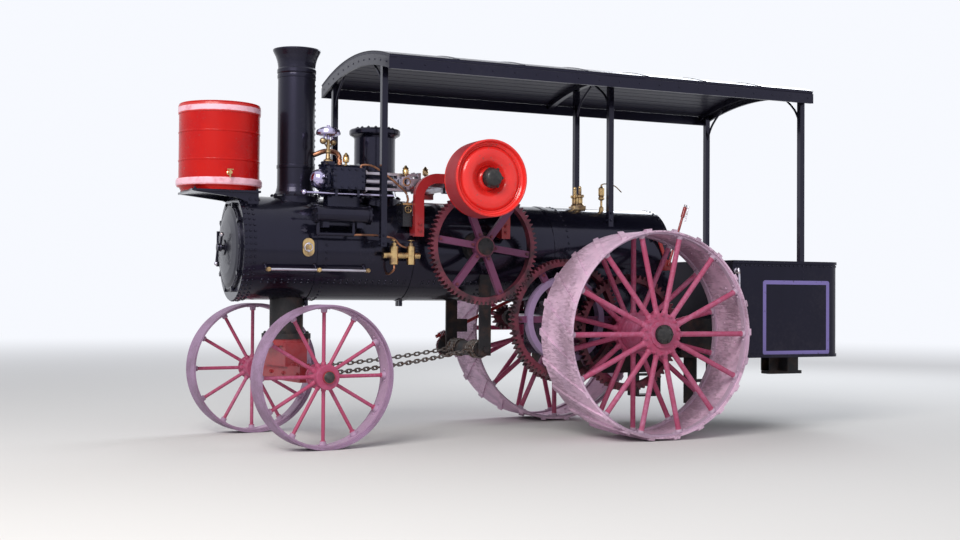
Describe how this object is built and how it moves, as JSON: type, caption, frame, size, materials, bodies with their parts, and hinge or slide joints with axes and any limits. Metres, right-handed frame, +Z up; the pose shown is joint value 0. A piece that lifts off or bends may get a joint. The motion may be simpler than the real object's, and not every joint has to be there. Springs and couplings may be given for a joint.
{
  "type": "steam traction engine",
  "caption": "Steam traction engine with a horizontal boiler, chimney, steam dome, geared rear drive wheels, canopy, tender and a water barrel over the smokebox.",
  "frame": {"origin": "on the ground, under the middle of the machine's bounding box", "axes": "+X forwards to the smokebox, +Y to the machine's left, +Z up"},
  "size_m": [5.805, 2.34, 3.05],
  "materials": {
    "black_paint": "semi-gloss",
    "red_paint": "semi-gloss",
    "faded_red": "satin",
    "gear_iron": "oily",
    "bright_steel": "brushed",
    "dark_iron": "rough",
    "worn_steel": "worn",
    "brass": "polished",
    "hoop_metal": "dull"
  },
  "bodies": {
    "chassis": {"boiler": "black_paint", "firebox": "black_paint", "ash_pan": "dark_iron", "chimney": "black_paint", "dome": "black_paint", "safety_valve": "brass", "cylinder": "black_paint", "guide_bars": "bright_steel", "pedestal_left": "red_paint", "pedestal_right": "red_paint", "feed_heater": "black_paint", "idler_bracket": "dark_iron", "axle_brackets": "dark_iron", "shaft_bearings": "dark_iron", "front_pedestal": "dark_iron", "steering_bracket": "dark_iron", "footplate": "dark_iron", "tender": "black_paint", "drawbar": "dark_iron", "canopy_roof": "black_paint", "canopy_ribs": "black_paint", "canopy_posts": "black_paint", "canopy_boards": "black_paint", "barrel_stand": "black_paint", "water_barrel": "red_paint", "barrel_hoops": "hoop_metal", "governor": "brass", "fittings": "brass", "handrails": "bright_steel", "reversing_gear": "red_paint"},
    "smokebox_door": {"smokebox_door": "black_paint"},
    "fire_door": {"fire_door": "dark_iron"},
    "crosshead": {"crosshead": "bright_steel"},
    "crankshaft": {"crankshaft": "bright_steel", "crank_webs": "bright_steel", "belt_pulley": "red_paint"},
    "connecting_rod": {"connecting_rod": "bright_steel"},
    "crank_pinion": {"crank_pinion": "gear_iron"},
    "idler_gear": {"idler_rim": "gear_iron", "idler_wheel": "gear_iron"},
    "diff_gear": {"diff_rim": "gear_iron", "diff_wheel": "gear_iron"},
    "countershaft": {"countershaft": "bright_steel", "pinion_right": "gear_iron"},
    "pinion_left": {"pinion_left": "gear_iron"},
    "rear_wheel_left": {"rear_rim_left": "worn_steel", "rear_wheel_left": "faded_red", "bull_gear_left": "gear_iron"},
    "rear_wheel_right": {"rear_rim_right": "worn_steel", "rear_wheel_right": "faded_red", "bull_gear_right": "gear_iron"},
    "front_axle": {"front_axle": "red_paint", "steering_chains": "dark_iron"},
    "front_wheel_left": {"front_rim_left": "worn_steel", "front_wheel_left": "faded_red"},
    "front_wheel_right": {"front_rim_right": "worn_steel", "front_wheel_right": "faded_red"},
    "steering_roller": {"steering_roller": "dark_iron"},
    "steering_wheel": {"steering_wheel": "red_paint"}
  },
  "joints": [
    {"name": "rear_left_spin", "type": "hinge", "parent": "chassis", "child": "rear_wheel_left", "pos_m": [-0.6925, 0.642, 0.838], "axis": [0, 1, 0], "continuous": true},
    {"name": "rear_right_spin", "type": "hinge", "parent": "chassis", "child": "rear_wheel_right", "pos_m": [-0.6925, -0.642, 0.838], "axis": [0, 1, 0], "continuous": true},
    {"name": "pinion_left_spin", "type": "hinge", "parent": "chassis", "child": "pinion_left", "pos_m": [-0.13592, 0.612, 0.94619], "axis": [0, 1, 0], "continuous": true},
    {"name": "countershaft_spin", "type": "hinge", "parent": "chassis", "child": "countershaft", "pos_m": [-0.13592, 0, 0.94619], "axis": [0, 1, 0], "continuous": true},
    {"name": "diff_spin", "type": "hinge", "parent": "chassis", "child": "diff_gear", "pos_m": [-0.13592, 0.5, 0.94619], "axis": [0, 1, 0], "continuous": true},
    {"name": "idler_spin", "type": "hinge", "parent": "chassis", "child": "idler_gear", "pos_m": [0.59546, 0.5, 1.52063], "axis": [0, 1, 0], "continuous": true},
    {"name": "crank_pinion_spin", "type": "hinge", "parent": "chassis", "child": "crank_pinion", "pos_m": [0.7475, 0.5, 2.02], "axis": [0, 1, 0], "continuous": true},
    {"name": "crankshaft_spin", "type": "hinge", "parent": "chassis", "child": "crankshaft", "pos_m": [0.7475, 0, 2.02], "axis": [0, 1, 0], "continuous": true},
    {"name": "rod_pin", "type": "hinge", "parent": "crankshaft", "child": "connecting_rod", "pos_m": [0.6225, 0.372, 2.02], "axis": [0, 1, 0], "continuous": true},
    {"name": "crosshead_slide", "type": "slide", "parent": "chassis", "child": "crosshead", "axis": [1, 0, 0], "range_m": [0, 0.25]},
    {"name": "steer", "type": "hinge", "parent": "chassis", "child": "front_axle", "pos_m": [2.0375, 0, 0.79], "axis": [0, 0, 1], "range_deg": [-35, 21], "deforming": ["steering_chains"]},
    {"name": "front_left_spin", "type": "hinge", "parent": "front_axle", "child": "front_wheel_left", "pos_m": [1.94, 0.79404, 0.53], "axis": [-0.1219, 0.9925, 0], "continuous": true},
    {"name": "front_right_spin", "type": "hinge", "parent": "front_axle", "child": "front_wheel_right", "pos_m": [2.13499, -0.79404, 0.53], "axis": [-0.1219, 0.9925, 0], "continuous": true},
    {"name": "roller_turn", "type": "hinge", "parent": "chassis", "child": "steering_roller", "pos_m": [0.4875, 0, 0.7], "axis": [0, 1, 0], "range_deg": [-212, 128]},
    {"name": "steering_wheel_turn", "type": "hinge", "parent": "chassis", "child": "steering_wheel", "pos_m": [0.53387, -0.436, 0.80414], "axis": [0.9135, 0, -0.4067], "range_deg": [-3200, 1940]},
    {"name": "smokebox_door_hinge", "type": "hinge", "parent": "chassis", "child": "smokebox_door", "pos_m": [2.491, -0.38, 1.49], "axis": [0, 0, -1], "range_deg": [0, 110]},
    {"name": "fire_door_hinge", "type": "hinge", "parent": "chassis", "child": "fire_door", "pos_m": [-1.253, -0.171, 1.28], "axis": [0, 0, 1], "range_deg": [0, 110]}
  ],
  "couplings": [
    {"joint": "pinion_left_spin", "follows": "rear_left_spin", "ratio": -4.7857},
    {"joint": "countershaft_spin", "follows": "rear_right_spin", "ratio": -4.7857},
    {"joint": "idler_spin", "follows": "diff_spin", "ratio": -1.0667},
    {"joint": "crank_pinion_spin", "follows": "diff_spin", "ratio": 6.6667},
    {"joint": "rod_pin", "follows": "crankshaft_spin", "ratio": -1},
    {"joint": "roller_turn", "follows": "steer", "ratio": 6},
    {"joint": "steering_wheel_turn", "follows": "steer", "ratio": 90}
  ]
}
